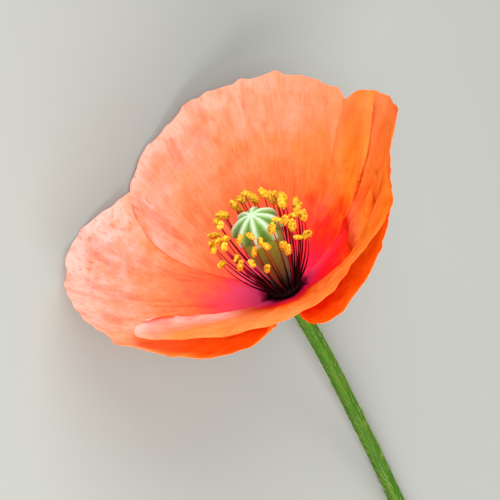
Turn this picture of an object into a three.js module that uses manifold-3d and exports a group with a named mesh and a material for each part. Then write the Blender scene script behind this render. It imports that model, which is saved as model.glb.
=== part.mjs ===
// A cut poppy lying on a flat surface: four crinkled petals around a ring of stamens and a ribbed seed head,
// on one slender bent stem. Millimetres, +Z up, the origin under the middle of the whole flower.
//
// The head is built about its own axis: azimuth 0 is its right side, 90 its back, 180 its left and 270 its
// front, reach is the distance out from that axis, and rise the height along it from the middle of the receptacle.

import * as THREE from 'three';
import { mergeVertices } from 'three/addons/utils/BufferGeometryUtils.js';
import Module from 'manifold-3d';

const wasm = await Module();
wasm.setup();

const rad = THREE.MathUtils.degToRad;

// --- driving dimensions ---

const HEAD_PLACE = [-0.35, -34.05, 11.8];
const HEAD_LEAN = rad(63.3);
const HEAD_TURN = rad(141);

const STEM_RADIUS = 0.9;
const STEM_SIDES = 12;
const STEM_STEPS = 44;
// The stem's line from the receptacle, which it leaves along the head's axis, down to the surface and along it.
const STEM_LINE = [
  [-0.2, 0.9, -0.45], [-0.7, 3.9, -1.8], [-1.24, 11.9, -5.05], [-1.04, 19.8, -7.8], [-0.1, 27.7, -9.6],
  [1.9, 37, -10.7], [5.2, 50, -10.9], [9.2, 65, -10.9], [13.0, 80, -10.9], [15.2, 89.5, -10.9],
];

const RECEPTACLE_RADIUS = 2.0;
const RECEPTACLE_TOP = 1.8;
const RECEPTACLE_SEGMENTS = 20;
const SEAT_GAP = 0.3;

const PETAL_THICKNESS = 0.3;
const CLAW_REACH = 2.45;
const PETAL_CELLS_ACROSS = 40;
const PETAL_CELLS_ALONG = 12;

// Each petal is a fan of ribs from its narrow claw to its margin. claw gives the first and last azimuth and the
// rise of the claw. margin lists azimuth, reach and rise of the points that shape the edge. cup is how far the
// first, middle and last rib are domed (+) or dished (-), roll how far they are arched up near the margin, and
// bow how far the first and last rib bend sideways. bowShape holds the share of the petal's width over which the
// bow dies out, the power that keeps it high at first, and how far its fullest part is moved towards the margin.
const PETALS = [
  {
    name: 'petal_back',
    claw: [22, 152, -0.2],
    cup: [-0.75, -0.35, -0.5],
    roll: [0, 0, 0],
    bow: [0, 0],
    bowShape: [0.4, 1, 0],
    margin: [
      [16, 13, 5.6], [19, 18, 9.3], [24, 20.6, 12.4], [29, 21.6, 14.4], [35, 21.1, 14.4], [39, 20.5, 13.6],
      [42, 20.4, 12.9], [46, 21.2, 14], [53, 21.7, 14.5], [62, 22.2, 14.8], [73, 22.6, 15], [82, 22.4, 15.1],
      [91, 22.1, 15.1], [99, 21.3, 14.8], [108, 20.9, 14.4], [117, 20.4, 14.1], [124.5, 19.6, 13.4],
      [132, 18.8, 12], [143, 17.6, 9.8], [152, 15, 7.4],
    ],
  },
  {
    name: 'petal_left',
    claw: [143, 256, 0.5],
    cup: [-0.3, -0.3, -0.2],
    roll: [0, 0, 0],
    bow: [3.4, 0],
    bowShape: [0.6, 2, 0.78],
    margin: [
      [134.6, 18, 12.9], [138.5, 18.7, 13.3], [142.4, 19.3, 13.4], [148, 20.4, 13.5],
      [155, 21.8, 13.5], [165, 23.1, 13.4], [177, 23.7, 13.2], [189, 23.4, 12.9], [198, 23, 12.5],
      [209, 22.7, 11.9], [221, 21.2, 11.2], [231, 20, 10.5], [240, 18.9, 9.8], [248, 17.5, 9.1],
      [253, 14.6, 8], [256, 10.4, 6],
    ],
  },
  {
    name: 'petal_right',
    claw: [-87, 20, 0.5],
    cup: [-0.2, -0.5, -0.8],
    roll: [0, 0, 0],
    bow: [0, -1.5],
    bowShape: [0.4, 1, 0],
    margin: [
      [-87, 9.7, 5.6], [-86, 14.4, 7.8], [-81, 17.1, 9], [-74, 17.9, 9.7], [-65, 17.7, 10.6], [-57, 17.9, 11.6],
      [-46, 17.5, 12.8], [-33, 17.2, 13.9], [-20, 16.9, 15], [-8, 17.1, 16], [1, 18.1, 16.8], [10, 20.3, 17.1],
      [19, 21, 16.8], [25, 20.6, 15.8], [26, 19.1, 13.8],
    ],
  },
  {
    name: 'petal_front',
    claw: [212, 336, 1.2],
    cup: [-0.56, -0.16, -0.51],
    roll: [0.092, 0.058, -0.018],
    bow: [-0.25, -3.4],
    bowShape: [0.4, 1, 0],
    margin: [
      [207, 18.1, 12.05], [205.9, 19, 12.25], [207.1, 20.2, 12.35], [211.8, 20.9, 12.45], [220.7, 19.8, 12.5],
      [229.8, 18.8, 12.6], [239.6, 18.3, 12.7], [249.3, 17.8, 12.8], [259.2, 17.8, 12.8], [268.9, 17.9, 12.8],
      [278.6, 17.8, 12.9], [288.4, 17.4, 13.3], [298.7, 16.7, 13.8], [308.8, 16.9, 14.5], [317.8, 17.4, 15.3],
      [327.3, 17.6, 16.1], [337.5, 17.3, 16.7], [345, 16.9, 17.1],
    ],
  },
];
// Brings the highest value of v ** 4 * (1 - v) to 1.
const ROLL_PEAK = 12.2;

// The seed head: reach and rise of its outline, from the base up under the ray disc and over it.
const OVARY_BASE = RECEPTACLE_TOP + SEAT_GAP;
const OVARY_OUTLINE = [
  [0, OVARY_BASE], [1.1, OVARY_BASE], [1.3, 3.2], [1.65, 4.7], [2, 6.4], [2.35, 8.2], [2.6, 10], [2.65, 11],
];
const DISC_OUTLINE = [[2.75, 11.2], [2.97, 11.4], [2.9, 11.8], [2.57, 12.45], [1.9, 13.05], [1.05, 13.5], [0, 13.75]];
const DISC_RAYS = 8;
const DISC_PHASE = rad(-14);
const DISC_LOBE = 0.08;
const OVARY_SEGMENTS = 48;
// How far the seed head and the stamens lean to their right for each unit of rise above their base.
const CENTRE_LEAN = -0.04;

// The stamens stand in three whorls. foot and tip are the reach of the filament's two ends, and spread is added
// to tip at the front and taken from it at the back. gather draws the tips, in degrees, towards GATHER_AZIMUTH.
const WHORLS = [
  { count: 14, foot: 1.4, tip: 3.9, spread: 0.15, rise: 13.7, gather: 16 },
  { count: 18, foot: 1.7, tip: 4.85, spread: 0.5, rise: 12.6, gather: -4 },
  { count: 20, foot: 2.0, tip: 5.7, spread: 0.75, rise: 11.6, gather: -4 },
];
const GATHER_AZIMUTH = 285;
// The tips bunch into this many clumps round the ring, drawn together by at most CLUMP_PULL degrees.
const CLUMPS = 5;
const CLUMP_PULL = 2;
const FILAMENT_RADIUS = 0.1;
const FILAMENT_SIDES = 4;
const FILAMENT_STEPS = 5;
const ANTHER_HALF = [0.36, 0.31, 0.52];
const ANTHER_SEGMENTS = 6;
const ANTHER_RINGS = 4;
const ANTHER_TILT = 0.5;
const TIP_SCATTER = { azimuth: 4, reach: 0.2, rise: 0.5 };

const COLOURS = {
  petal: 0xff7a4a,
  stem: 0x5f8f2c,
  pistil: 0xbcd99a,
  stamen: 0xf0b828,
};

// --- helpers ---

function material(colour, roughness) {
  return new THREE.MeshStandardMaterial({ color: colour, roughness, metalness: 0 });
}

function named(name, geometry, surface) {
  const mesh = new THREE.Mesh(geometry, surface);
  mesh.name = name;
  return mesh;
}

// A point of the head from its azimuth in degrees, its reach and its rise.
function headPoint([azimuth, reach, rise]) {
  return new THREE.Vector3(reach * Math.cos(rad(azimuth)), reach * Math.sin(rad(azimuth)), rise);
}

function smoothCurve(points) {
  return new THREE.CatmullRomCurve3(points, false, 'catmullrom', 0.5);
}

// A solid of the joining library, from a closed geometry.
function solidOf(geometry) {
  const bare = geometry.clone();
  bare.deleteAttribute('normal');
  bare.deleteAttribute('uv');
  const merged = mergeVertices(bare, 1e-5);
  return new wasm.Manifold(new wasm.Mesh({
    numProp: 3,
    vertProperties: new Float32Array(merged.attributes.position.array),
    triVerts: new Uint32Array(merged.index.array),
  }));
}

// One geometry from two that run into each other.
function joined(first, second) {
  const mesh = solidOf(first).add(solidOf(second)).getMesh();
  const geometry = new THREE.BufferGeometry();
  geometry.setAttribute('position', new THREE.BufferAttribute(mesh.vertProperties, mesh.numProp));
  geometry.setIndex(new THREE.BufferAttribute(mesh.triVerts, 1));
  geometry.computeVertexNormals();
  return geometry;
}

// A round bar of the given radius along a curve, closed at both ends.
function barAlong(curve, radius, sides, steps) {
  const section = new THREE.Shape();
  for (let i = 0; i < sides; i += 1) {
    const turn = (2 * Math.PI * i) / sides;
    const corner = [radius * Math.cos(turn), radius * Math.sin(turn)];
    if (i === 0) {
      section.moveTo(...corner);
    } else {
      section.lineTo(...corner);
    }
  }
  section.closePath();
  return new THREE.ExtrudeGeometry(section, { steps, extrudePath: curve, bevelEnabled: false });
}

// A turned body about the z axis from [reach, rise] pairs.
function turned(outline, segments) {
  const points = outline.map(([reach, rise]) => new THREE.Vector2(reach, rise));
  const geometry = new THREE.LatheGeometry(points, segments);
  geometry.rotateX(Math.PI / 2);
  return geometry;
}

// --- petals ---

// The parabola through three values at u = 0, 0.5 and 1.
function acrossPetal([first, middle, last], u) {
  return first * (1 - u) * (1 - 2 * u) + 4 * middle * u * (1 - u) + last * u * (2 * u - 1);
}

// A point of the petal's middle surface: u runs across it, v from claw (0) to margin (1).
function petalPoint(petal, margin, u, v) {
  const [firstAzimuth, lastAzimuth, rise] = petal.claw;
  const claw = headPoint([THREE.MathUtils.lerp(firstAzimuth, lastAzimuth, u), CLAW_REACH, rise]);
  const rib = margin.getPoint(u).sub(claw);
  const sideways = new THREE.Vector2(-rib.y, rib.x).normalize();
  const [firstBow, lastBow] = petal.bow;
  const [share, power, skew] = petal.bowShape;
  const fade = (far) => Math.max(0, 1 - (far / share) ** power) ** 2;
  const bow = (firstBow * fade(u) + lastBow * fade(1 - u)) * (1 + skew * (2 * v - 1));
  const arch = 4 * v * (1 - v);
  const lift = (acrossPetal(petal.cup, u) * arch) / 4 + acrossPetal(petal.roll, u) * ROLL_PEAK * v ** 4 * (1 - v);
  return new THREE.Vector3(
    claw.x + rib.x * v + sideways.x * bow * arch,
    claw.y + rib.y * v + sideways.y * bow * arch,
    claw.z + rib.z * (v + lift),
  );
}

// The upward unit normal of the petal's middle surface.
function petalNormal(petal, margin, u, v) {
  const step = 1e-3;
  const [u0, u1] = [Math.max(0, u - step), Math.min(1, u + step)];
  const [v0, v1] = [Math.max(0, v - step), Math.min(1, v + step)];
  const across = petalPoint(petal, margin, u1, v).sub(petalPoint(petal, margin, u0, v));
  const along = petalPoint(petal, margin, u, v1).sub(petalPoint(petal, margin, u, v0));
  const normal = along.cross(across).normalize();
  return normal.z < 0 ? normal.negate() : normal;
}

// A thin closed sheet: an upper and a lower skin half a thickness from the middle surface, and a rim round them.
function petalGeometry(petal) {
  const margin = smoothCurve(petal.margin.map(headPoint));
  const positions = [];
  for (const side of [0.5, -0.5]) {
    for (let i = 0; i <= PETAL_CELLS_ACROSS; i += 1) {
      for (let j = 0; j <= PETAL_CELLS_ALONG; j += 1) {
        const [u, v] = [i / PETAL_CELLS_ACROSS, j / PETAL_CELLS_ALONG];
        const offset = petalNormal(petal, margin, u, v).multiplyScalar(side * PETAL_THICKNESS);
        positions.push(...petalPoint(petal, margin, u, v).add(offset));
      }
    }
  }
  const row = PETAL_CELLS_ALONG + 1;
  const skin = row * (PETAL_CELLS_ACROSS + 1);
  const faces = [];
  const quad = (a, b, c, d) => faces.push(a, b, c, a, c, d);
  for (let i = 0; i < PETAL_CELLS_ACROSS; i += 1) {
    for (let j = 0; j < PETAL_CELLS_ALONG; j += 1) {
      const a = i * row + j;
      quad(a, a + 1, a + row + 1, a + row);
      quad(skin + a, skin + a + row, skin + a + row + 1, skin + a + 1);
    }
    const claw = i * row;
    const edge = claw + PETAL_CELLS_ALONG;
    quad(claw, claw + row, skin + claw + row, skin + claw);
    quad(edge, skin + edge, skin + edge + row, edge + row);
  }
  const last = PETAL_CELLS_ACROSS * row;
  for (let j = 0; j < PETAL_CELLS_ALONG; j += 1) {
    quad(j, skin + j, skin + j + 1, j + 1);
    quad(last + j, last + j + 1, skin + last + j + 1, skin + last + j);
  }
  const geometry = new THREE.BufferGeometry();
  geometry.setAttribute('position', new THREE.Float32BufferAttribute(positions, 3));
  geometry.setIndex(faces);
  geometry.computeVertexNormals();
  return geometry;
}

// --- seed head ---

// The ovary with its ray disc: turned, the disc's edge drawn out into one lobe for each ray, then leaned over.
function pistilGeometry() {
  const geometry = turned([...OVARY_OUTLINE, ...DISC_OUTLINE], OVARY_SEGMENTS);
  const place = geometry.attributes.position;
  const discBase = DISC_OUTLINE[0][1];
  for (let i = 0; i < place.count; i += 1) {
    const [x, y, z] = [place.getX(i), place.getY(i), place.getZ(i)];
    const onDisc = z >= discBase - 0.01;
    const lobe = onDisc ? 1 + DISC_LOBE * Math.cos(DISC_RAYS * (Math.atan2(y, x) - DISC_PHASE)) : 1;
    place.setXY(i, x * lobe + CENTRE_LEAN * (z - OVARY_BASE), y * lobe);
  }
  geometry.computeVertexNormals();
  return geometry;
}

// --- stamens ---

// A number from -1 to 1 that differs from stamen to stamen.
function scatter(index, channel) {
  return Math.sin(index * 2.1 + channel * 78.2);
}

function stamenGeometry(whorl, place, index) {
  const azimuth = (360 * (place + whorl.foot)) / whorl.count;
  const gathered = azimuth - whorl.gather * Math.sin(rad(azimuth - GATHER_AZIMUTH));
  const bunched = gathered + CLUMP_PULL * Math.sin(rad(CLUMPS * azimuth));
  const tipAzimuth = bunched + TIP_SCATTER.azimuth * scatter(index, 1);
  const forward = -Math.sin(rad(tipAzimuth));
  const tipReach = whorl.tip + whorl.spread * forward + TIP_SCATTER.reach * scatter(index, 2);
  const tipRise = whorl.rise + TIP_SCATTER.rise * scatter(index, 3);
  const path = [0, 0.2, 0.45, 0.75, 1].map((along) => {
    const rise = THREE.MathUtils.lerp(OVARY_BASE, tipRise, along);
    const point = headPoint([
      THREE.MathUtils.lerp(azimuth, tipAzimuth, along),
      THREE.MathUtils.lerp(whorl.foot, tipReach, 1.6 * along - 0.6 * along ** 2),
      rise,
    ]);
    point.x += CENTRE_LEAN * (rise - OVARY_BASE);
    return point;
  });
  const filament = barAlong(smoothCurve(path), FILAMENT_RADIUS, FILAMENT_SIDES, FILAMENT_STEPS);
  const anther = new THREE.SphereGeometry(1, ANTHER_SEGMENTS, ANTHER_RINGS);
  anther.rotateX(Math.PI / 2);
  anther.scale(...ANTHER_HALF);
  anther.rotateY(ANTHER_TILT * scatter(index, 4));
  anther.rotateX(ANTHER_TILT * scatter(index, 5));
  anther.rotateZ(rad(tipAzimuth));
  anther.translate(...path.at(-1));
  return joined(filament, anther);
}

// --- stem ---

// The stem runs up into the receptacle, the small knob that carries everything else.
function stemGeometry() {
  const line = smoothCurve(STEM_LINE.map((point) => new THREE.Vector3(...point)));
  const bar = barAlong(line, STEM_RADIUS, STEM_SIDES, STEM_STEPS);
  const knob = turned([
    [0, -2.3], [0.95, -2.3], [1.15, -1.4], [1.6, -0.8], [RECEPTACLE_RADIUS, -0.5],
    [RECEPTACLE_RADIUS, RECEPTACLE_TOP], [0, RECEPTACLE_TOP],
  ], RECEPTACLE_SEGMENTS);
  knob.applyMatrix4(new THREE.Matrix4().makeRotationX(HEAD_LEAN));
  return joined(bar, knob);
}

// --- the flower ---

const flower = new THREE.Group();

const stem = named('stem', stemGeometry(), material(COLOURS.stem, 0.6));
stem.position.set(...HEAD_PLACE);
flower.add(stem);

const head = new THREE.Group();
head.position.set(...HEAD_PLACE);
head.rotation.set(HEAD_LEAN, 0, HEAD_TURN);
flower.add(head);

for (const petal of PETALS) {
  head.add(named(petal.name, petalGeometry(petal), material(COLOURS.petal, 0.55)));
}

head.add(named('pistil', pistilGeometry(), material(COLOURS.pistil, 0.6)));

let stamenCount = 0;
for (const whorl of WHORLS) {
  for (let place = 0; place < whorl.count; place += 1) {
    stamenCount += 1;
    const name = `stamen_${String(stamenCount).padStart(2, '0')}`;
    head.add(named(name, stamenGeometry(whorl, place, stamenCount), material(COLOURS.stamen, 0.7)));
  }
}

export default flower;
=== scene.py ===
# A cut poppy lying on a matt surface: four crinkled petals around a ring of stamens and a ribbed seed head,
# on one slender hairy stem. Shapes are worked out in millimetres and put into the meshes in metres.
#
# The head is built about its own axis: azimuth 0 is its right side, 90 its back, 180 its left and 270 its
# front. Reach is the distance out from that axis, and rise the height along it from inside the receptacle.

import math

import bpy
import numpy as np
from mathutils import Matrix, Vector


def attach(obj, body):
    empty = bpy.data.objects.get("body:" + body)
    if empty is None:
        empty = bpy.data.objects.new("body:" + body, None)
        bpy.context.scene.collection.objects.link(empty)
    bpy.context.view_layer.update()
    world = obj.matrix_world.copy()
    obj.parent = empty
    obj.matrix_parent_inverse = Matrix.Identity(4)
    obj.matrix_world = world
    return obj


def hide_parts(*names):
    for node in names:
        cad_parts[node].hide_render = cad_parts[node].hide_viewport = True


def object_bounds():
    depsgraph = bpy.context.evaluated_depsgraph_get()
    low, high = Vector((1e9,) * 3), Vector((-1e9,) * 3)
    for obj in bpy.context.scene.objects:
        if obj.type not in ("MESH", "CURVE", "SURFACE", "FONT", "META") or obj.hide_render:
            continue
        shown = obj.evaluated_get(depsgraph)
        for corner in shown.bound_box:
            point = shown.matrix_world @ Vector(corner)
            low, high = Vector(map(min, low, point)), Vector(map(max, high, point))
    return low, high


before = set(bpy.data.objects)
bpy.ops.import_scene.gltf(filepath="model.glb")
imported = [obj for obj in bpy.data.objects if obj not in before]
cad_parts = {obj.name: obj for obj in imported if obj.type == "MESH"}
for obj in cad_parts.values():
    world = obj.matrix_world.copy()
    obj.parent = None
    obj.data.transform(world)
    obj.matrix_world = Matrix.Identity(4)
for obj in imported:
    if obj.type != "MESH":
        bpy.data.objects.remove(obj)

CAD_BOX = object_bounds()
MM = 0.001

# --- where the head lies and how the stem runs ---

HEAD_PLACE = np.array([-0.35, -34.05, 11.8])
HEAD_LEAN = math.radians(63.3)
HEAD_TURN = math.radians(141)
HEAD_AXES = np.array(Matrix.Rotation(HEAD_LEAN, 3, "X") @ Matrix.Rotation(HEAD_TURN, 3, "Z"))
FLOOR_HEIGHT = CAD_BOX[0].z

# The stem's middle line below the receptacle, measured from the head's place.
STEM_LINE = [
    [-0.2, 0.9, -0.45], [-0.7, 3.9, -1.8], [-1.24, 11.9, -5.05], [-1.04, 19.8, -7.8], [-0.1, 27.7, -9.6],
    [1.9, 37, -10.7], [5.2, 50, -10.9], [9.2, 65, -10.9], [13.0, 80, -10.9], [15.2, 89.5, -10.9],
]
STEM_RADIUS = 0.9
RECEPTACLE_RADIUS = 2.0
RECEPTACLE_TOP = 1.8

# --- petals ---

PETAL_THICKNESS = 0.12
CLAW_REACH = 2.1
# A rib starts this far inside the claw's ring, as v.
CLAW_TUCK = -0.012
CELLS_ACROSS = 250
CELLS_ALONG = 160

# A petal is a fan of ribs from its claw to its margin. claw gives the first and last azimuth and the rise of
# the claw, and margin lists azimuth, reach and rise of the points that shape the edge. cup is how far the
# first, middle and last rib are domed (+) or dished (-), and roll how far they arch just inside the edge. bow
# is how far the first and last rib bend sideways, to a larger azimuth (+). bow_shape holds the share of the
# petal's width over which the bow dies out, the power that keeps it high at first, and how far its fullest
# part is moved towards the margin. The sheen list gives, in even steps across the petal, how far a painted
# sky sheen takes its colour from deep orange (0) to pale salmon (1). flush spreads the red zone round the
# claw (+) or draws it in (-). A fold is a ridge (+) or groove (-) between two places on the petal: u and v of
# its ends, half width and height.
PETALS = {
    "petal_back": dict(
        seed=11, claw=(10, 162, -0.2), cup=(-0.75, -0.35, -0.5), roll=(0, 0, 0),
        bow=(0, 0), bow_shape=(0.4, 1, 0), flush=0, pale=(0, 0.12, 0.5, 0.72, 0.9),
        margin=[
            (9, 12.2, 4.8), (19, 18, 9.3), (24, 20.6, 12.4), (29, 21.6, 14.4), (35, 21.1, 14.4),
            (39, 20.5, 13.6), (42, 20.4, 12.9), (46, 21.2, 14), (53, 21.7, 14.5), (62, 22.2, 14.8),
            (73, 22.6, 15), (82, 22.4, 15.1), (91, 22.1, 15.1), (99, 21.3, 14.8), (108, 20.9, 14.4),
            (117, 20.4, 14.1), (124.5, 19.6, 13.4), (132, 18.8, 12), (143, 17.6, 9.8), (161, 13.6, 5.8),
        ],
        folds=[
            (0.13, 0.35, 0.19, 0.9, 0.8, -0.25), (0.26, 0.4, 0.29, 0.85, 1.0, 0.25),
            (0.7, 0.3, 0.8, 0.75, 1.0, 0.2),
        ],
    ),
    "petal_left": dict(
        seed=23, claw=(143, 256, 0.5), cup=(-0.3, -0.3, -0.2), roll=(0, 0, 0),
        bow=(3.4, 0), bow_shape=(0.6, 2, 0.78), flush=0,
        pale=(0.55, 0.8, 0.95, 0.95, 0.85, 0.75, 0.35, 0.05, 0.05, 0.05, 0),
        margin=[
            (134.6, 18, 12.9), (138.5, 18.7, 13.3), (142.4, 19.3, 13.4), (148, 20.4, 13.5),
            (155, 21.8, 13.5), (165, 23.1, 13.4), (177, 23.7, 13.2), (189, 23.4, 12.9), (198, 23, 12.5),
            (209, 22.7, 11.9), (221, 21.2, 11.2), (231, 20, 10.5), (240, 18.9, 9.8), (248, 17.5, 9.1),
            (253, 14.6, 8), (256, 10.4, 6),
        ],
        folds=[(0.42, 0.3, 0.40, 0.75, 0.7, -0.2), (0.62, 0.35, 0.6, 0.8, 0.8, 0.2)],
    ),
    "petal_right": dict(
        seed=37, claw=(-87, 20, 0.5), cup=(-0.2, -0.5, -0.8), roll=(0, 0, 0),
        bow=(0, -1.5), bow_shape=(0.4, 1, 0), flush=0.15, pale=(0, 0, 0, 0.1, 0.2),
        margin=[
            (-87, 9.7, 5.6), (-86, 14.4, 7.8), (-81, 17.1, 9), (-74, 17.9, 9.7), (-65, 17.7, 10.6),
            (-57, 17.9, 11.6), (-46, 17.5, 12.8), (-33, 17.2, 13.9), (-20, 16.9, 15), (-8, 17.1, 16),
            (1, 18.1, 16.8), (10, 20.3, 17.1), (19, 21, 16.8), (25, 20.6, 15.8), (26, 19.1, 13.8),
        ],
        folds=[
            (0.86, 0.48, 0.56, 0.60, 1.3, 0.4), (0.88, 0.39, 0.56, 0.48, 0.7, -0.4),
            (0.97, 0.10, 0.90, 0.38, 0.8, 0.25), (0.54, 0.70, 0.64, 0.73, 0.9, -0.65),
            (0.78, 0.72, 0.61, 0.74, 0.35, -0.3), (0.968, 0.99, 0.970, 0.72, 0.4, -0.4),
            (0.970, 0.70, 0.960, 0.46, 0.4, -0.4), (0.958, 0.44, 0.920, 0.28, 0.4, -0.4),
        ],
    ),
    "petal_front": dict(
        seed=53, claw=(212, 336, 1.2), cup=(-0.56, -0.16, -0.51), roll=(0.092, 0.058, -0.018),
        bow=(-0.25, -3.4), bow_shape=(0.4, 1, 0), flush=-0.9,
        pale=(1, 0.9, 0.12, 0.12, 0.1, 0.08, 0.05, 0, 0),
        margin=[
            (207, 18.1, 12.05), (205.9, 19, 12.25), (207.1, 20.2, 12.35), (211.8, 20.9, 12.45),
            (220.7, 19.8, 12.5), (229.8, 18.8, 12.6), (239.6, 18.3, 12.7), (249.3, 17.8, 12.8),
            (259.2, 17.8, 12.8), (268.9, 17.9, 12.8), (278.6, 17.8, 12.9), (288.4, 17.4, 13.3),
            (298.7, 16.7, 13.8), (308.8, 16.9, 14.5), (317.8, 17.4, 15.3), (327.3, 17.6, 16.1),
            (337.5, 17.3, 16.7), (345, 16.9, 17.1),
        ],
        folds=[(0.03, 0.75, 0.35, 0.62, 0.4, 0.2)],
    ),
}

# How much the ribs differ in length, as a share, its two spacings in millimetres, and where it sets in.
FRILL = 0.010
FRILL_SPACINGS = (1.1, 3.1)
FRILL_START = 0.6
# Brings v⁴(1 - v) to 1 at its highest.
ROLL_SCALE = 12.2
# The layers of a petal's relief: height and spacing in millimetres, repeats along a rib, and the places along
# the rib where the layer sets in and where it is full.
WAVES = dict(height=0.28, spacing=5, repeats=2.2, sets_in=0.4, full=1.0)
CREASES = dict(height=0.13, spacing=2.6, repeats=3.5, sets_in=0.12, full=0.6)
CRUMPLE = dict(height=0.12, spacing=1.3, repeats=13, sets_in=0.1, full=0.5)
CREASE_SWAY = 1.2
# How strongly the relief paints shade into the skin's colour, darker in hollows and lighter on ridges, and the
# painted shadow line along the petal's two side edges.
FOLD_SHADE = 1.2
CREASE_SHADE = 1.6
OUTER_SHADE_SHARE = 0.5
SIDE_LINE_SHADE = 0.6
SIDE_SHADOW_FROM = 0.49
SIDE_SHADOW_END = 0.95
# How much of its thickness the petal loses towards its margin and sides, and where that starts.
EDGE_THINNING = 0.75
THINS_ALONG_FROM = 0.93
THINS_ACROSS_FROM = 0.47

# --- seed head and stamens ---

# Both outlines list reach and rise.
OVARY_BASE = 2.1
OVARY_OUTLINE = [
    [0.0, OVARY_BASE], [1.1, OVARY_BASE], [1.3, 3.2], [1.65, 4.7], [2.0, 6.4], [2.35, 8.2], [2.6, 10.0],
    [2.5, 10.9], [2.3, 11.2],
]
DISC_OUTLINE = [
    [2.75, 11.2], [2.97, 11.4], [2.9, 11.8], [2.57, 12.45], [1.9, 13.05], [1.05, 13.5], [0.0, 13.75],
]
# How far it leans to its left per millimetre of rise.
CENTRE_LEAN = -0.04
DISC_RAYS = 8
DISC_PHASE = math.radians(-14)
RAY_WIDTH = 0.20
RAY_WIDENING = 0.09
RAY_HEIGHT = 0.26
VALLEY_DEPTH = 0.10
RIM_SCALLOP = 0.10
RIM_DROOP = 0.22
BODY_RIB = 0.02
# The rise over which the ovary's colour runs from its dark foot, a painted shadow of the stamens, to its top.
OVARY_SHADED_RISE = 9.0

# foot and tip are reaches, spread is how much further the front tips reach, rise is that of the tips, and
# gather how many degrees the tips move towards (+) or away from (-) the gather azimuth.
WHORLS = [
    dict(count=14, foot=1.4, tip=3.9, spread=0.15, rise=13.7, gather=16),
    dict(count=18, foot=1.7, tip=4.85, spread=0.5, rise=12.6, gather=-4),
    dict(count=20, foot=2.0, tip=5.7, spread=0.75, rise=11.6, gather=-4),
]
GATHER_AZIMUTH = 285
TIP_SCATTER = dict(azimuth=4, reach=0.2, rise=0.6)
CLUMPS = 5
CLUMP_PULL = 2
FILAMENT_RADIUS = 0.065
FILAMENT_SWELL = 0.075
ANTHER_HALVES = (0.47, 0.38, 0.74)
ANTHER_ENDS = 0.65
ANTHER_TILT = 0.9

# --- the view ---

# The shift is the way from the head's place to the point looked at, along the camera's right and up.
VIEW_RISE = math.radians(42)
VIEW_ROLL = math.radians(22.5)
VIEW_SHIFT = (-4.47, 5.18)
VIEW_DISTANCE = 506
VIEW_LENS = 306


# --- numbers and curves ---

def smooth_curve(points, t):
    """Points at t, from 0 to 1, on a curve through the given points. Between two of them it is a cubic, and
    its slope at each is half the line between that point's neighbours."""
    row = np.asarray(points, float)
    row = np.vstack([2 * row[0] - row[1], row, 2 * row[-1] - row[-2]])
    place = np.clip(t, 0, 1) * (len(row) - 3)
    first = np.minimum(place.astype(int), len(row) - 4)
    w = (place - first)[..., None]
    before, start, end, after = (row[first + i] for i in range(4))
    bend = (w ** 3 - 2 * w ** 2 + w) * (end - before) / 2 + (w ** 3 - w ** 2) * (after - start) / 2
    return (2 * w ** 3 - 3 * w ** 2 + 1) * start + (3 * w ** 2 - 2 * w ** 3) * end + bend


def eased(low, high, x):
    """0 below low, 1 above high, and 3t² - 2t³ between them."""
    t = np.clip((x - low) / (high - low), 0, 1)
    return t * t * (3 - 2 * t)


def soft_noise(seed, x, y):
    """Random relief from -1 to 1: one height for each whole x and y, joined by the curve 3t² - 2t³."""
    heights = np.random.default_rng(seed).uniform(-1, 1, (256, 256))
    column, row = np.floor(x).astype(int), np.floor(y).astype(int)
    tx, ty = eased(0, 1, x - column), eased(0, 1, y - row)

    def corner(dx, dy):
        return heights[(column + dx) % 256, (row + dy) % 256]

    near = corner(0, 0) * (1 - tx) + corner(1, 0) * tx
    far = corner(0, 1) * (1 - tx) + corner(1, 1) * tx
    return near * (1 - ty) + far * ty


def scatter(index, channel):
    """A number from -1 to 1 that differs from stamen to stamen."""
    return math.sin(index * 2.1 + channel * 78.2)


def unit(vectors):
    """The vectors, each divided by its own length."""
    return vectors / np.linalg.norm(vectors, axis=-1, keepdims=True)


def lengths_along(points):
    """How far each point lies along a line of points, as the sum of the straight steps up to it."""
    return np.concatenate([[0], np.cumsum(np.linalg.norm(np.diff(points, axis=0), axis=1))])


def head_point(azimuth, reach, rise):
    """Points of the head from azimuth in degrees, reach and rise."""
    turn = np.radians(azimuth)
    return np.stack(np.broadcast_arrays(reach * np.cos(turn), reach * np.sin(turn), rise), axis=-1)


def head_points(rows):
    """Points of the head from rows of azimuth, reach and rise."""
    azimuth, reach, rise = np.asarray(rows, float).T
    return head_point(azimuth, reach, rise)


def laid(points):
    """Points of the head where it lies: turned by the head's axes, then moved to its place."""
    return points @ HEAD_AXES.T + HEAD_PLACE


# --- meshes ---

def grid_faces(rows, columns, close_rows=False):
    """Four-sided faces between neighbouring points of a grid numbered row by row."""
    count = rows if close_rows else rows - 1
    i, j = np.meshgrid(np.arange(count), np.arange(columns - 1), indexing="ij")
    a = i * columns + j
    b = ((i + 1) % rows) * columns + j
    return np.stack([a, a + 1, b + 1, b], axis=-1).reshape(-1, 4)


def piece(name, points, faces, material, node_names, slot, crease=None, **attributes):
    """A finished piece: a mesh of millimetre points, its point attributes, its material and its place in the
    frame. Edges sharper than crease degrees stay crisp."""
    mesh = bpy.data.meshes.new(name)
    mesh.from_pydata((points * MM).tolist(), [], faces if isinstance(faces, list) else faces.tolist())
    for label, values in attributes.items():
        kind = "FLOAT_VECTOR" if values.ndim == 2 else "FLOAT"
        stored = mesh.attributes.new(label, kind, "POINT")
        stored.data.foreach_set("vector" if values.ndim == 2 else "value", values.astype(np.float32).ravel())
    mesh.validate()
    mesh.shade_smooth()
    if crease is not None:
        mesh.set_sharp_from_angle(angle=math.radians(crease))
    mesh.materials.append(material)
    made = bpy.data.objects.new(name, mesh)
    bpy.context.scene.collection.objects.link(made)
    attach(made, "root")
    if node_names:
        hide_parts(*node_names)
    return made


# --- materials ---

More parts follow.
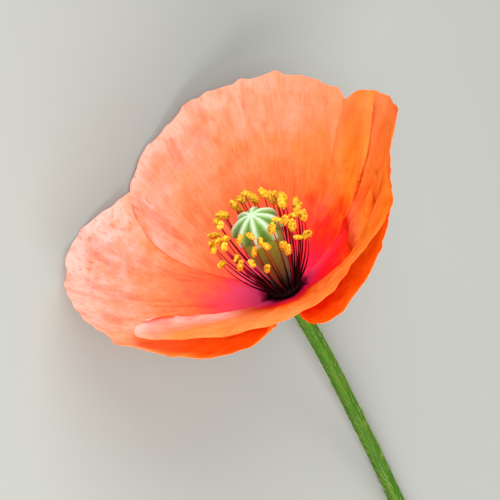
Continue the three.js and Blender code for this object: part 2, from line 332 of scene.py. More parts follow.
def paint(code):
    """A linear colour from a six-digit screen colour code."""
    shades = [int(code[i:i + 2], 16) / 255 for i in (0, 2, 4)]
    return tuple(s / 12.92 if s <= 0.04045 else ((s + 0.055) / 1.055) ** 2.4 for s in shades) + (1.0,)


def new_material(name):
    """A new material without nodes, and its node tree."""
    material = bpy.data.materials.new(name)
    material.use_nodes = True
    material.node_tree.nodes.clear()
    return material, material.node_tree


def node(tree, kind, inputs=None, **settings):
    """A new shader node. inputs gives each socket a value, or another node's output to read."""
    made = tree.nodes.new("ShaderNode" + kind)
    for name, value in settings.items():
        setattr(made, name, value)
    for name, value in (inputs or {}).items():
        socket = made.inputs[name]
        if isinstance(value, bpy.types.NodeSocket):
            tree.links.new(value, socket)
        else:
            socket.default_value = value
    return made


def maths(tree, operation, first, second=0.0, third=0.0):
    """The output of one Math node."""
    return node(tree, "Math", {0: first, 1: second, 2: third}, operation=operation).outputs[0]


def blend(tree, amount, first, second, blend_type="MIX"):
    """The colour between first and second, by amount from 0 to 1."""
    made = node(tree, "Mix", {0: amount, 6: first, 7: second}, data_type="RGBA", blend_type=blend_type)
    return made.outputs[2]


def ramp(tree, factor, stops):
    """A colour that runs through the stops (place, screen colour code) as factor goes from 0 to 1."""
    made = node(tree, "ValToRGB", {0: factor})
    scale = made.color_ramp
    while len(scale.elements) < len(stops):
        scale.elements.new(1.0)
    for element, (place, code) in zip(scale.elements, stops):
        element.position = place
        element.color = paint(code)
    return made.outputs[0]


def stretched_noise(tree, vector, stretch, detail=2.0, roughness=0.5):
    """Noise from 0 to 1 on a pattern vector stretched by three factors."""
    mapping = node(tree, "Mapping", {"Vector": vector, "Scale": stretch})
    return node(tree, "TexNoise", {
        "Vector": mapping.outputs[0], "Scale": 1.0, "Detail": detail, "Roughness": roughness,
    }).outputs[0]


def attribute(tree, name, output="Fac"):
    """A point attribute of the mesh, as a number or as a vector."""
    return node(tree, "Attribute", attribute_name=name).outputs[output]


def object_place(tree):
    """The place on the piece, in metres."""
    return node(tree, "TexCoord").outputs["Object"]


def clamped(tree, value):
    """The value, held between 0 and 1."""
    return node(tree, "Clamp", {0: value}).outputs[0]


def bumped(tree, height, strength, depth):
    """Surface directions that follow a height from 0 to 1, with its depth in millimetres."""
    return node(tree, "Bump", {"Height": height, "Strength": strength, "Distance": depth * MM}).outputs[0]


def finish_surface(tree, shader):
    """Joins a shader node to the material's surface."""
    output = node(tree, "OutputMaterial")
    tree.links.new(shader.outputs[0], output.inputs["Surface"])


# The petal's colour from its claw (0) to its margin (1), where a painted sky sheen makes it pale and where it
# is deep.
SHEENED_SHADES = [
    (0.0, "14000A"), (0.03, "B01C5C"), (0.06, "FF58A0"), (0.18, "FF5C90"), (0.27, "FF5C66"),
    (0.36, "FA744C"), (0.50, "F98250"), (0.62, "F88E66"), (0.74, "F89E84"), (0.86, "F9AC9E"),
    (1.0, "FBC0B8"),
]
DEEP_SHADES = [
    (0.0, "100006"), (0.03, "58001F"), (0.06, "E8205C"), (0.18, "FF0C24"), (0.34, "FC2008"),
    (0.46, "FC620E"), (0.66, "FF8614"), (1.0, "FF8520"),
]
# The colour of its outer side, from claw to margin.
OUTER_SHADES = [(0.0, "300A04"), (0.2, "E83408"), (0.5, "FF6A0A"), (1.0, "FF8420")]
# The colour of the light that comes through to its outer side, and to its inner side where that is deep.
OUTER_GLOW = "FFC434"
GLOW_SHADES = [
    (0.0, "100006"), (0.05, "C00830"), (0.15, "FF2038"), (0.38, "FF6A0A"), (0.7, "FF9A28"), (1.0, "FFA040"),
]
# How far streaks along the veins, broad blotches and small clouds each move the colour along its shades.
# Their sum is measured from its usual value, and the move grows in a straight line from claw to margin.
VEIN_SHARE = 0.20
BLOTCH_SHARE = 0.24
CLOUD_SHARE = 0.36
USUAL_SUM = 0.40
MOVE_AT_CLAW = 0.15
MOVE_GROWTH = 1.9
CLOUD_STRETCH = (240, 240, 240)
# The tints of the relief's painted shade in hollows and painted highlight on ridges, and of the thin wrinkles,
# whose darker lines are partly vein colour and partly painted shade, and how strong they are.
HOLLOW_SHADE_TINT = "E68A54"
HOLLOW_SHADE_STRENGTH = 1.6
RIDGE_HIGHLIGHT_TINT = "FFC0A0"
RIDGE_HIGHLIGHT_STRENGTH = 0.25
WRINKLE_SHADES = [(0.26, "E89C7C"), (0.46, "FFFFFF")]
# How far the inner glow takes the petal's own colour where the painted sky sheen makes it pale, and the share
# of light let through.
SHEEN_GLOW_SHARE = 0.7
LIGHT_THROUGH = 0.34


def petal_material(name, seed):
    """Silky petal skin. Its colour is read from a row of shades at the place along the rib, which is moved by
    streaks that follow the veins, by blotches and by clouds. A painted sky sheen makes parts of the inner
    side pale. Painted shade darkens the hollows of the relief and the side edges, and a painted highlight
    lightens its ridges. Sheened parts have fine wrinkles, whose darker lines are partly vein colour and
    partly painted shade. The outer side has its own shades, and light passes through the petal in a more
    golden orange."""
    material, tree = new_material(name)
    fan = attribute(tree, "fan", "Vector")
    # How far a painted sky sheen makes the inner side pale.
    pale = attribute(tree, "pale")
    outer = attribute(tree, "outer")
    # The relief's painted shade: below 0 in hollows and along the side edges, above 0 on ridges.
    lift = attribute(tree, "lift")
    along = node(tree, "SeparateXYZ", {0: fan}).outputs["Z"]

    clouds = stretched_noise(tree, object_place(tree), CLOUD_STRETCH, detail=5.0, roughness=0.6)
    veins = stretched_noise(tree, fan, (1.8, 4.0, seed), detail=3.0)
    blotches = stretched_noise(tree, fan, (0.30, 6.0, seed + 3.0), detail=3.0)
    blotch_move = maths(tree, "MULTIPLY", blotches, BLOTCH_SHARE)
    streaks = maths(tree, "ADD", blotch_move, maths(tree, "MULTIPLY", veins, VEIN_SHARE))
    total = maths(tree, "ADD", streaks, maths(tree, "MULTIPLY", clouds, CLOUD_SHARE))
    growth = maths(tree, "MULTIPLY_ADD", along, MOVE_GROWTH, MOVE_AT_CLAW)
    move = maths(tree, "MULTIPLY", maths(tree, "SUBTRACT", total, USUAL_SUM), growth)
    place = maths(tree, "ADD", along, move)

    # The painted sky sheen lightens the deep shades towards the pale ones.
    inner = blend(tree, pale, ramp(tree, place, DEEP_SHADES), ramp(tree, place, SHEENED_SHADES))
    plain = blend(tree, outer, inner, ramp(tree, place, OUTER_SHADES))
    # Painted shade darkens the colour in the relief's hollows, and a painted highlight lightens it on the
    # ridges.
    hollow_shade = clamped(tree, maths(tree, "MULTIPLY", lift, -HOLLOW_SHADE_STRENGTH))
    hollow_shade_colour = blend(tree, 1.0, plain, paint(HOLLOW_SHADE_TINT), "MULTIPLY")
    shaded = blend(tree, hollow_shade, plain, hollow_shade_colour)
    ridge_highlight = maths(tree, "MULTIPLY", clamped(tree, lift), RIDGE_HIGHLIGHT_STRENGTH)
    lit = blend(tree, ridge_highlight, shaded, paint(RIDGE_HIGHLIGHT_TINT))
    # Thin darker lines where the sheen is: partly vein colour, partly painted shade in fine wrinkles.
    vein_and_wrinkle_shade = ramp(tree, stretched_noise(tree, fan, (2.4, 1.3, seed + 11.0), detail=3.0), WRINKLE_SHADES)
    vein_and_wrinkle_shaded = blend(tree, 1.0, lit, vein_and_wrinkle_shade, "MULTIPLY")
    colour = blend(tree, maths(tree, "MULTIPLY", pale, along), lit, vein_and_wrinkle_shaded)

    relief = stretched_noise(tree, fan, (1.6, 14.0, seed + 7.0), detail=4.0, roughness=0.6)
    bump = bumped(tree, relief, 0.4, 0.3)
    skin = node(tree, "BsdfPrincipled", {
        "Base Color": colour, "Roughness": 0.6, "Normal": bump, "Specular IOR Level": 0.08,
    })
    own_share = maths(tree, "MULTIPLY", pale, SHEEN_GLOW_SHARE)
    inner_glow = blend(tree, own_share, ramp(tree, place, GLOW_SHADES), plain)
    glow_colour = blend(tree, outer, inner_glow, paint(OUTER_GLOW))
    glow = node(tree, "BsdfTranslucent", {"Color": glow_colour, "Normal": bump})
    finish_surface(tree, node(tree, "MixShader", {0: LIGHT_THROUGH, 1: skin.outputs[0], 2: glow.outputs[0]}))
    return material


# The ovary's colour from its foot (0) to its top, near-black at the foot as a painted shadow of the stamens.
OVARY_SHADES_WITH_SHADOW = [
    (0.0, "1A0A04"), (0.12, "3A2408"), (0.3, "76661A"), (0.6, "868A22"), (0.9, "8FA22C"), (1.0, "84AC38"),
]
DISC_SHADES = [(0.0, "4E7A16"), (0.2, "74983C"), (0.5, "96B884"), (0.8, "B4CEA8"), (1.0, "C2D8BA")]


def seed_head_material():
    """Olive ovary, darkened at its foot by a painted shadow of the stamens, with pale velvet rays on a green
    disc, and fine speckles over both.
    """
    material, tree = new_material("seed_head_skin")
    speckle = stretched_noise(tree, object_place(tree), (2500, 2500, 2500), detail=3.0)
    body = ramp(tree, attribute(tree, "height"), OVARY_SHADES_WITH_SHADOW)
    disc = ramp(tree, attribute(tree, "ray"), DISC_SHADES)
    colour = blend(tree, attribute(tree, "on_disc"), body, disc)
    mottled = blend(tree, 0.35, colour, ramp(tree, speckle, [(0.3, "8A9A4A"), (0.7, "FFFFFF")]), "MULTIPLY")
    finish_surface(tree, node(tree, "BsdfPrincipled", {
        "Base Color": mottled, "Roughness": 0.6, "Normal": bumped(tree, speckle, 0.3, 0.1),
        "Specular IOR Level": 0.3, "Sheen Weight": 0.2,
        "Subsurface Weight": 0.15, "Subsurface Scale": 0.6 * MM,
    }))
    return material


def stamen_material():
    """Near-black maroon filament turning crimson upward, and a golden anther with brown pits. The brown in the
    pits is partly the pollen's own speckle and partly painted shade.
    """
    material, tree = new_material("stamen_skin")
    grains = stretched_noise(tree, object_place(tree), (3900, 3900, 3900), detail=3.0, roughness=0.6)
    filament = ramp(tree, attribute(tree, "height"), [
        (0.0, "0C0002"), (0.3, "240008"), (0.55, "78081E"), (1.0, "C41C34"),
    ])
    # Brown where the grains sink, partly the pollen's speckle and partly painted shade in the pits.
    anther = ramp(tree, grains, [(0.28, "4E3204"), (0.40, "B07A0A"), (0.52, "E2A618"), (0.72, "F8CC42")])
    finish_surface(tree, node(tree, "BsdfPrincipled", {
        "Base Color": blend(tree, attribute(tree, "pollen"), filament, anther), "Roughness": 0.6,
        "Normal": bumped(tree, grains, 0.6, 0.12), "Specular IOR Level": 0.25,
    }))
    return material


def stem_material():
    """Olive green skin with long paler and browner streaks, and a dark top under the petals."""
    material, tree = new_material("stem_skin")
    strip = attribute(tree, "strip", "Vector")
    streaks = stretched_noise(tree, strip, (1.6, 0.25, 1.0), detail=3.0)
    fine = stretched_noise(tree, strip, (9.0, 2.5, 1.0))
    green = ramp(tree, streaks, [(0.25, "244602"), (0.5, "325804"), (0.62, "466408"), (0.8, "50540E")])
    run = node(tree, "SeparateXYZ", {0: strip}).outputs["Y"]
    near_top = ramp(tree, maths(tree, "MULTIPLY", run, 0.35), [(0.72, "FFFFFF"), (0.95, "000000")])
    finish_surface(tree, node(tree, "BsdfPrincipled", {
        "Base Color": blend(tree, near_top, green, paint("1A0006")), "Roughness": 0.6,
        "Normal": bumped(tree, fine, 0.4, 0.1), "Specular IOR Level": 0.15,
        "Subsurface Weight": 0.1, "Subsurface Scale": 0.5 * MM,
    }))
    return material


def hair_material():
    """Pale silvery green hairs that let light through."""
    material, tree = new_material("stem_hair")
    tint = stretched_noise(tree, object_place(tree), (300, 300, 300))
    colour = ramp(tree, tint, [(0.3, "7E9C40"), (0.7, "B4C880")])
    skin = node(tree, "BsdfPrincipled", {"Base Color": colour, "Roughness": 0.4})
    glow = node(tree, "BsdfTranslucent", {"Color": colour})
    finish_surface(tree, node(tree, "MixShader", {0: 0.4, 1: skin.outputs[0], 2: glow.outputs[0]}))
    return material


def floor_material():
    """Matt grey paper."""
    material, tree = new_material("pale_floor")
    tint = stretched_noise(tree, object_place(tree), (6, 6, 6))
    colour = ramp(tree, tint, [(0.3, "868884"), (0.7, "8A8C88")])
    finish_surface(tree, node(tree, "BsdfPrincipled", {
        "Base Color": colour, "Roughness": 0.8, "Specular IOR Level": 0.2,
    }))
    return material


# --- petals ---

def across_petal(values, u):
    """The parabola through three values at u = 0, 0.5 and 1."""
    first, middle, last = values
    return first * (1 - u) * (1 - 2 * u) + 4 * middle * u * (1 - u) + last * u * (2 * u - 1)


def petal_middle(petal, u, v, frill):
    """The petal's middle surface, a fan of ribs. A rib runs from the claw's ring to the margin in a straight
    line, v from 0 to 1, lengthened near the margin by frill. It is domed or dished along the head's axis by
    cup times v(1 - v) and arched by roll times 12.2v⁴(1 - v), which is 1 at its highest. It bows sideways
    by 4v(1 - v) times 1 + skew(2v - 1) times the bow of the nearer side, which fades with the distance d
    from that side, as a share of the width, by (1 - (d / share)^power)²."""
    first, last, rise = petal["claw"]
    claw = head_point(first + (last - first) * u, CLAW_REACH, rise)
    rib = smooth_curve(head_points(petal["margin"]), u) - claw
    rib = rib * (1 + frill * eased(FRILL_START, 1.0, v))[..., None]
    sideways = unit(np.stack([-rib[..., 1], rib[..., 0]], axis=-1))
    first_bow, last_bow = petal["bow"]
    share, power, skew = petal["bow_shape"]
    fade_first = np.maximum(0, 1 - (u / share) ** power) ** 2
    fade_last = np.maximum(0, 1 - ((1 - u) / share) ** power) ** 2
    arch = 4 * v * (1 - v)
    bow = (first_bow * fade_first + last_bow * fade_last) * arch * (1 + skew * (2 * v - 1))
    roll = across_petal(petal["roll"], u) * ROLL_SCALE * v ** 4 * (1 - v)
    domed = v + across_petal(petal["cup"], u) * arch / 4 + roll
    flat = claw[..., :2] + rib[..., :2] * v[..., None] + sideways * bow[..., None]
    return np.concatenate([flat, (claw[..., 2] + rib[..., 2] * domed)[..., None]], axis=-1)


def surface_normals(points):
    """The unit normals of a grid of points, on the side that looks up the head's axis."""
    normals = unit(np.cross(np.gradient(points, axis=1), np.gradient(points, axis=0)))
    return normals * np.where(normals[..., 2:] < 0, -1, 1)


def layer_noise(layer, seed, across, v):
    """Soft noise with a relief layer's spacing across the ribs and its repeats along them."""
    return soft_noise(seed, across / layer["spacing"], layer["repeats"] * v)


def layer_height(layer, v):
    """A relief layer's height, eased in along the rib."""
    return layer["height"] * eased(layer["sets_in"], layer["full"], v)


def petal_relief(seed, width, v):
    """How far the petal's skin stands off its middle surface, in millimetres, in three layers. Creases, which
    are 1 less twice the size of a noise, wander along the ribs, a small crumple covers everything, and long
    waves grow towards the margin."""
    swayed = width + CREASE_SWAY * soft_noise(seed + 3, width / 6, 3 * v)
    waves = layer_height(WAVES, v) * layer_noise(WAVES, seed, width, v)
    creases = layer_height(CREASES, v) * (1 - 2 * np.abs(layer_noise(CREASES, seed + 1, swayed, v)))
    crumple = layer_height(CRUMPLE, v) * layer_noise(CRUMPLE, seed + 2, swayed, v)
    return creases, crumple, waves


def fold_relief(petal, middle):
    """How far the petal's folds lift its skin. Across a fold the height falls off as a bell curve of the
    distance to the straight line between its ends."""
    total = np.zeros(middle.shape[:2])
    for start_u, start_v, end_u, end_v, half_width, height in petal["folds"]:
        end_places = np.array([start_u, end_u]), np.array([start_v, end_v])
        start, end = petal_middle(petal, *end_places, np.zeros(2))
        share = np.clip((middle - start) @ (end - start) / np.sum((end - start) ** 2), 0, 1)
        away = np.linalg.norm(middle - start - share[..., None] * (end - start), axis=-1)
        total += height * np.exp(-(away / half_width) ** 2)
    return total


def petal_frill(seed, width):
    """How much longer or shorter the ribs are, as a share: two soft noises along the margin."""
    fine, coarse = FRILL_SPACINGS
    level = 0 * width
    small = soft_noise(seed + 4, width / fine, level)
    large = soft_noise(seed + 5, width / coarse, level)
    return FRILL * small + FRILL * large


def skin_faces(rows, columns):
    """Faces of two skins, upper points first, and of the rim that joins them all round."""
    skin = rows * columns
    upper = grid_faces(rows, columns)
    number = np.arange(skin).reshape(rows, columns)
    ring = np.concatenate([number[:, 0], number[-1, 1:], number[-2::-1, -1], number[0, -2:0:-1]])
    after = np.roll(ring, -1)
    rim = np.stack([ring, after, after + skin, ring + skin], axis=-1)
    return np.concatenate([upper, upper[:, ::-1] + skin, rim])


def petal_piece(name, petal, material):
    """Two skins half a thickness either side of the relief, joined by a rim all round. The thickness falls to
    a quarter at the margin and at the petal's sides."""
    places_across = np.linspace(0, 1, CELLS_ACROSS + 1)
    places_along = np.linspace(CLAW_TUCK, 1, CELLS_ALONG + 1)
    u, v = np.meshgrid(places_across, places_along, indexing="ij")
    edge = smooth_curve(head_points(petal["margin"]), places_across)
    width = np.broadcast_to(lengths_along(edge)[:, None], u.shape)
    middle = petal_middle(petal, u, v, petal_frill(petal["seed"], width))
    folds = fold_relief(petal, middle)
    creases, crumple, waves = petal_relief(petal["seed"], width, v)
    middle = middle + surface_normals(middle) * (folds + creases + crumple + waves)[..., None]

    off_centre = np.abs(u - 0.5)
    thinning = np.maximum(eased(THINS_ALONG_FROM, 1.0, v), eased(THINS_ACROSS_FROM, 0.5, off_centre))
    thickness = PETAL_THICKNESS * (1 - EDGE_THINNING * thinning)
    half = thickness[..., None] / 2 * surface_normals(middle)
    points = np.concatenate([(middle + half).reshape(-1, 3), (middle - half).reshape(-1, 3)])

    # Painted shade from the folds and creases: the inner side darker in hollows and lighter on ridges, the
    # outer side only darker in hollows.
    shade = FOLD_SHADE * folds + CREASE_SHADE * (creases + crumple)
    # A painted shadow line along both side edges of the inner side, stopping short of the margin.
    side_shadow_line = (off_centre > SIDE_SHADOW_FROM) * (v < SIDE_SHADOW_END)
    inner_painted_shade = shade - SIDE_LINE_SHADE * side_shadow_line
    outer_painted_shade = np.minimum(-OUTER_SHADE_SHARE * shade, 0)
    inner_tone = v - petal["flush"] * eased(0.1, 0.4, v) * (1 - v)
    outer_tone = 0.42 + 0.58 * v
    fans = [np.stack([width, v, tone], axis=-1).reshape(-1, 3) for tone in (inner_tone, outer_tone)]
    # How far the painted sky sheen makes each place pale; the outer side gets none.
    pale = np.interp(u, np.linspace(0, 1, len(petal["pale"])), petal["pale"]).ravel()
    return piece(
        name, laid(points), skin_faces(*u.shape), material, [name], "petal", crease=60,
        fan=np.concatenate(fans), pale=np.concatenate([pale, 0 * pale]), outer=np.repeat([0.0, 1.0], u.size),
        lift=np.concatenate([inner_painted_shade.ravel(), outer_painted_shade.ravel()]),
    )


# --- seed head ---

def seed_head_piece():
    """One outline turned about the head's axis, and leaned. On the disc each of the eight rays is a ridge
    whose height is a bell curve across it, and the rim reaches out and down where a ray meets it."""
    ring_steps, turn_steps = 150, 256
    outline = np.array(OVARY_OUTLINE + DISC_OUTLINE)
    lengths = lengths_along(outline)
    place = np.linspace(0, lengths[-1], ring_steps + 1)[1:-1]
    knots = np.interp(place, lengths, np.linspace(0, 1, len(outline)))
    reach, rise = smooth_curve(outline, knots).T
    start = lengths[len(OVARY_OUTLINE)]
    on_disc = eased(start - 0.5, start + 0.1, place)

    turn, reach = np.meshgrid(np.arange(turn_steps) * 2 * math.pi / turn_steps, reach, indexing="ij")
    rise = np.broadcast_to(rise, reach.shape)
    on_disc = np.broadcast_to(on_disc, reach.shape)
    wave = np.cos(DISC_RAYS * (turn - DISC_PHASE))
    ray_step = 2 * math.pi / DISC_RAYS
    off_ray = np.abs(((turn - DISC_PHASE) / ray_step + 0.5) % 1 - 0.5) * ray_step * reach
    ray = np.exp(-(off_ray / (RAY_WIDTH + RAY_WIDENING * reach)) ** 2)
    outer = eased(1.2, 3.1, reach) * on_disc
    top = on_disc * eased(11.2, 11.8, rise)
    body_rib = (1 - on_disc) * eased(2.5, 6.0, rise)
    new_reach = reach * (1 + RIM_SCALLOP * outer * (wave - 0.2) + BODY_RIB * body_rib * wave)
    raised = top * (RAY_HEIGHT * ray - VALLEY_DEPTH) * eased(0, 0.8, reach)
    new_rise = rise + raised - RIM_DROOP * outer * eased(-1, 1, wave)
    lean = CENTRE_LEAN * (new_rise - OVARY_BASE)
    points = np.stack([new_reach * np.cos(turn) + lean, new_reach * np.sin(turn), new_rise], axis=-1)

    rows, columns = reach.shape
    faces = grid_faces(rows, columns, close_rows=True)[:, ::-1]
    bottom, peak = rows * columns, rows * columns + 1
    near = np.arange(rows) * columns
    far = near + columns - 1
    caps = [[bottom, b, a] for a, b in zip(near, np.roll(near, -1))]
    caps += [[peak, a, b] for a, b in zip(far, np.roll(far, -1))]
    peak_rise = DISC_OUTLINE[-1][1]
    ends = np.array([[0, 0, OVARY_BASE], [CENTRE_LEAN * (peak_rise - OVARY_BASE), 0, peak_rise]])
    # How far up the ovary each point lies, which lifts the painted shadow at its foot.
    height = np.clip((rise - OVARY_BASE) / OVARY_SHADED_RISE, 0, 1).ravel()
    return piece(
        "seed_head", laid(np.concatenate([points.reshape(-1, 3), ends])), faces.tolist() + caps,
        seed_head_material(), ["pistil"], "pistil",
        ray=np.append(ray.ravel(), [0, 1]), on_disc=np.append(on_disc.ravel(), [0, 1]),
        height=np.append(height, [0, 1]),
    )


# --- stamens ---

def swept(line, radius, sides):
    """A round bar: rings of points round a line, in the plane across it, each at its own radius, as an array
    of rings, sides and three."""
    heading = unit(np.gradient(line, axis=0))
    across = unit(np.cross(heading, [1.0, 0.0, 0.0]))
    other = np.cross(heading, across)
    turn = np.arange(sides) * 2 * math.pi / sides
    spoke = np.cos(turn)[:, None] * across[:, None] + np.sin(turn)[:, None] * other[:, None]
    return line[:, None] + spoke * np.broadcast_to(radius, (len(line), sides))[..., None]


def capped_faces(rings, sides):
    """Faces of a bar of rings, with one flat face at each end. The two end faces come last."""
    i, j = np.meshgrid(np.arange(rings - 1), np.arange(sides), indexing="ij")
    a, b = i * sides + j, i * sides + (j + 1) % sides
    walls = np.stack([a, b, b + sides, a + sides], axis=-1).reshape(-1, 4)
    first = np.arange(sides)[::-1]
    last = (rings - 1) * sides + np.arange(sides)
    return walls.tolist() + [first.tolist(), last.tolist()]


def anther_points(tilt_a, tilt_b, index):
    """A bean of pollen: an ellipsoid drawn in by a groove down each side, which leaves two rounded lobes, and
    roughened by small lumps. Its ends are points, and it is tilted about two axes."""
    rings, sides = 11, 18
    polar = np.linspace(0, math.pi, rings + 2)[1:-1, None]
    turn = (np.arange(sides) * 2 * math.pi / sides)[None, :]
    groove = 1 - 0.38 * np.exp(-(np.cos(turn) / 0.38) ** 2) * np.sin(polar) ** 0.5
    lump_place = 4 + 3 * np.cos(turn) * np.sin(polar), 4 + 3 * np.cos(polar) + 0 * turn
    lumps = 1 + 0.24 * soft_noise(index, *lump_place)
    grown = 1 + 0.16 * scatter(index, 6)
    half_x, half_y, half_z = ANTHER_HALVES
    x = half_x * np.sin(polar) * np.cos(turn) * groove * lumps * grown
    y = half_y * np.sin(polar) * np.sin(turn) * groove * lumps * grown
    z = half_z * np.cos(polar) * (1 - 0.12 * np.exp(-(np.sin(polar) / 0.4) ** 2)) * lumps * grown
    body = np.stack([x, y, z], axis=-1).reshape(-1, 3)
    points = np.concatenate([body, [[0, 0, ANTHER_ENDS * grown], [0, 0, -ANTHER_ENDS * grown]]])
    turned = Matrix.Rotation(tilt_b, 3, "X") @ Matrix.Rotation(tilt_a, 3, "Y")
    top, bottom = rings * sides, rings * sides + 1
    i, j = np.meshgrid(np.arange(rings - 1), np.arange(sides), indexing="ij")
    a, b = i * sides + j, i * sides + (j + 1) % sides
    faces = np.stack([a, a + sides, b + sides, b], axis=-1).reshape(-1, 4).tolist()
    around = np.arange(sides)
    last = (rings - 1) * sides
    faces += [[top, int(p), int(q)] for p, q in zip(around, np.roll(around, -1))]
    faces += [[bottom, int(q), int(p)] for p, q in zip(around + last, np.roll(around + last, -1))]
    return points @ np.array(turned).T, faces


def stamen_piece(whorl, position, index, material):
    """A thin filament that leaves the receptacle and spreads outward, with an anther at its tip. Its azimuth
    and rise change evenly from foot to tip, and its reach by 1.6t - 0.6t². The tips of a whorl are gathered
    to one side, or away from it, bunched in clumps, and scattered a little."""
    azimuth = 360 * (position + whorl["foot"]) / whorl["count"]
    gathered = azimuth - whorl["gather"] * math.sin(math.radians(azimuth - GATHER_AZIMUTH))
    bunched = gathered + CLUMP_PULL * math.sin(CLUMPS * math.radians(azimuth))
    tip_azimuth = bunched + TIP_SCATTER["azimuth"] * scatter(index, 1)
    forward = -math.sin(math.radians(tip_azimuth))
    tip_reach = whorl["tip"] + whorl["spread"] * forward + TIP_SCATTER["reach"] * scatter(index, 2)
    tip_rise = whorl["rise"] + TIP_SCATTER["rise"] * scatter(index, 3)
    along = np.linspace(0, 1, 13)
    reach = whorl["foot"] + (tip_reach - whorl["foot"]) * (1.6 * along - 0.6 * along ** 2)
    rise = OVARY_BASE + (tip_rise - OVARY_BASE) * along
    line = head_point(azimuth + (tip_azimuth - azimuth) * along, reach, rise)
    line[:, 0] += CENTRE_LEAN * (rise - OVARY_BASE)
    filament = swept(line, (FILAMENT_RADIUS + FILAMENT_SWELL * (1 - along) ** 2)[:, None], 8)
    rings, sides = filament.shape[:2]
    tilts = ANTHER_TILT * scatter(index, 4), ANTHER_TILT * scatter(index, 5)
    anther, anther_faces = anther_points(*tilts, index)
    spin = np.array(Matrix.Rotation(math.radians(tip_azimuth), 3, "Z"))
    anther = anther @ spin.T + line[-1]
    points = np.concatenate([filament.reshape(-1, 3), anther])
    faces = capped_faces(rings, sides) + [[n + rings * sides for n in face] for face in anther_faces]
    height = np.concatenate([np.repeat(along, sides), np.ones(len(anther))])
    pollen = np.concatenate([np.zeros(rings * sides), np.ones(len(anther))])
    name = f"stamen_{index:02d}"
    return piece(name + "_fine", laid(points), faces, material, [name], "stamen", crease=60,
                 height=height, pollen=pollen)


# --- stem ---

STEM_SIDES = 48
STEM_RINGS = 420
# The stem's radius at lengths below the receptacle's top.
NECK_RUN = [0, 0.15, 2.3, 2.7, 3.3, 4.1, 5.5]
NECK_RADIUS = [1.85, RECEPTACLE_RADIUS, RECEPTACLE_RADIUS, 1.75, 1.25, 1.0, STEM_RADIUS]
STEM_GROOVES = 7
GROOVE_DEPTH = 0.018
STEM_UNEVENNESS = 0.02
HAIR_COUNT = 1300
HAIR_ROOTS = (0.2, 0.985)
HAIR_LENGTHS = (0.9, 1.9)
HAIR_LIFTS = (0.1, 0.6)
HAIR_RADIUS = 0.024
FLOOR_GAP = 0.02


def stem_line(t):
    """The stem's middle line: from the receptacle's top along the head's axis, then down to the surface."""
    axis = HEAD_AXES[:, 2]
    rows = [axis * RECEPTACLE_TOP] + STEM_LINE
    return smooth_curve(np.array(rows), t) + HEAD_PLACE


def stem_piece():
    """A round bar along the stem's line. Its radius is the receptacle's at the top and falls off below it,
    then stays even but for soft noise and for shallow grooves, a cosine round the stem."""
    t = np.linspace(0, 1, STEM_RINGS) ** 1.6
    line = stem_line(t)
    run = lengths_along(line)[:, None]
    neck = np.interp(run, NECK_RUN, NECK_RADIUS)
    turn = (np.arange(STEM_SIDES) * 2 * math.pi / STEM_SIDES)[None, :]
    grooves = GROOVE_DEPTH * np.cos(STEM_GROOVES * turn)
    uneven = STEM_UNEVENNESS * soft_noise(5, run / 3, 3 + 2 * np.cos(turn))
    radius = np.minimum(neck * (1 + grooves + uneven), RECEPTACLE_RADIUS)
    points = swept(line, radius, STEM_SIDES)
    faces = capped_faces(STEM_RINGS, STEM_SIDES)
    strip = np.stack(np.broadcast_arrays(5 * np.cos(turn), run, 5 * np.sin(turn)), axis=-1).reshape(-1, 3)
    return piece(
        "flower_stem", points.reshape(-1, 3), faces, stem_material(), ["stem"], "stem",
        crease=50, strip=strip,
    )


def stem_hairs():
    """Hairs that lie nearly flat along the stem, towards the flower: each a thin tapered spike with three
    sides, rooted in the skin and leaning away from it by its lift. None goes below the floor."""
    rings, sides = 4, 3
    draw = np.random.default_rng(71)
    t = draw.uniform(*HAIR_ROOTS, HAIR_COUNT)
    root = stem_line(t)
    heading = unit(stem_line(np.minimum(t + 0.002, 1)) - root)
    across = unit(np.cross(heading, [1.0, 0.0, 0.0]))
    other = np.cross(heading, across)
    turn = draw.uniform(0, 2 * math.pi, HAIR_COUNT)[:, None]
    outward = np.cos(turn) * across + np.sin(turn) * other
    length = draw.uniform(*HAIR_LENGTHS, HAIR_COUNT)[:, None, None]
    lift = draw.uniform(*HAIR_LIFTS, HAIR_COUNT)[:, None, None]
    along = np.linspace(0, 1, rings)[None, :, None]
    skin_point = (root + outward * STEM_RADIUS * 0.97)[:, None]
    upward = -heading[:, None] * (1 - 0.15 * along)
    line = skin_point + length * along * (upward + outward[:, None] * lift * (1.4 - 0.6 * along))
    side_a = np.cross(heading, outward)[:, None, None]
    side_b = outward[:, None, None]
    angle = (np.arange(sides) * 2 * math.pi / sides)[None, None, :, None]
    thick = HAIR_RADIUS * (1 - 0.85 * along)[..., None]
    points = line[:, :, None] + thick * (np.cos(angle) * side_a + np.sin(angle) * side_b)
    points[..., 2] = np.maximum(points[..., 2], FLOOR_HEIGHT / MM + FLOOR_GAP)
    one_hair = capped_faces(rings, sides)
    starts = (np.arange(HAIR_COUNT) * rings * sides)[:, None, None]
    walls = (np.array(one_hair[:-2])[None] + starts).reshape(-1, 4).tolist()
    ends = (np.array(one_hair[-2:])[None] + starts).reshape(-1, 3).tolist()
    return piece("stem_hairs", points.reshape(-1, 3), walls + ends, hair_material(), [], "stem")


# --- studio ---

def camera_axes():
    """The camera's right, up and backward directions. It looks at the head from the front, VIEW_RISE above
    the plane of the petals, and is rolled by VIEW_ROLL about its own line of sight."""
    back = np.array([0, -math.cos(VIEW_RISE), math.sin(VIEW_RISE)])
    plain_up = np.array([0, math.sin(VIEW_RISE), math.cos(VIEW_RISE)])
    plain_right = np.array([1.0, 0, 0])
    right = math.cos(VIEW_ROLL) * plain_right - math.sin(VIEW_ROLL) * plain_up
    up = math.sin(VIEW_ROLL) * plain_right + math.cos(VIEW_ROLL) * plain_up
    return [HEAD_AXES @ axis for axis in (right, up, back)]


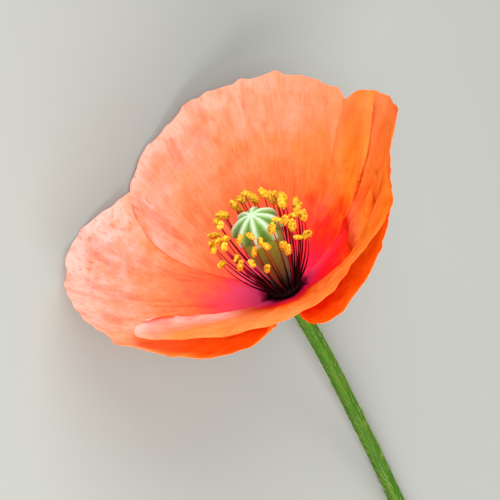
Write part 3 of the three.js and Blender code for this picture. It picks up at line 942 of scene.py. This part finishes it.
def placed(made, place, right, up, back):
    """Puts a camera or light at a place in millimetres, with its own axes along the three given ones."""
    turn = Matrix((right, up, back)).transposed().to_4x4()
    made.matrix_world = Matrix.Translation(Vector(place) * MM) @ turn
    bpy.context.scene.collection.objects.link(made)


def make_camera():
    """A long lens that looks at a point beside the head's place."""
    right, up, back = camera_axes()
    data = bpy.data.cameras.new("view")
    data.lens = VIEW_LENS
    data.sensor_width = 36
    data.clip_start = 0.01
    made = bpy.data.objects.new("view", data)
    target = HEAD_PLACE + VIEW_SHIFT[0] * right + VIEW_SHIFT[1] * up
    placed(made, target + VIEW_DISTANCE * back, right, up, back)
    bpy.context.scene.camera = made


def make_light(name, direction, distance, size, power, colour):
    """A square soft light, aimed at the head from a direction given along the camera's axes."""
    right, up, back = camera_axes()
    aim = unit(direction[0] * right + direction[1] * up + direction[2] * back)
    side = unit(np.cross([0, 0, 1.0], aim))
    data = bpy.data.lights.new(name, "AREA")
    data.size = size * MM
    data.energy = power
    data.color = colour
    made = bpy.data.objects.new(name, data)
    placed(made, HEAD_PLACE + aim * distance, side, np.cross(aim, side), aim)


def make_floor():
    """A wide flat sheet just under the lowest point of the flower."""
    half = 3000.0
    height = FLOOR_HEIGHT / MM - FLOOR_GAP
    outline = [(-half, -half), (half, -half), (half, half), (-half, half)]
    corners = np.array([[x, y, height] for x, y in outline])
    mesh = bpy.data.meshes.new("pale_floor")
    mesh.from_pydata((corners * MM).tolist(), [], [[0, 1, 2, 3]])
    mesh.materials.append(floor_material())
    floor = bpy.data.objects.new("pale_floor", mesh)
    bpy.context.scene.collection.objects.link(floor)


def make_studio():
    """An even sky, three soft lights and the floor."""
    scene = bpy.context.scene
    scene.view_settings.view_transform = "Standard"
    scene.view_settings.look = "None"
    world = bpy.data.worlds.new("soft_room")
    world.use_nodes = True
    sky = world.node_tree.nodes["Background"]
    sky.inputs["Color"].default_value = (0.92, 0.96, 1.0, 1.0)
    sky.inputs["Strength"].default_value = 0.58
    scene.world = world
    warm = (1.0, 0.98, 0.95)
    make_light("key", (0.05, 0.80, 0.60), distance=420, size=420, power=2.4, colour=warm)
    make_light("front", (0.06, -0.05, 1.0), distance=600, size=200, power=1.45, colour=(1.0, 0.99, 0.97))
    make_light("low", (0.25, -0.70, 0.65), distance=420, size=300, power=3.4, colour=warm)
    make_floor()


make_camera()
make_studio()

for petal_name, petal_shape in PETALS.items():
    skin_material = petal_material(petal_name + "_silk", float(petal_shape["seed"]))
    petal_piece(petal_name, petal_shape, skin_material)

seed_head_piece()

stamen_skin = stamen_material()
stamen_index = 0
for whorl_ring in WHORLS:
    for whorl_position in range(whorl_ring["count"]):
        stamen_index += 1
        stamen_piece(whorl_ring, whorl_position, stamen_index, stamen_skin)

stem_piece()
stem_hairs()
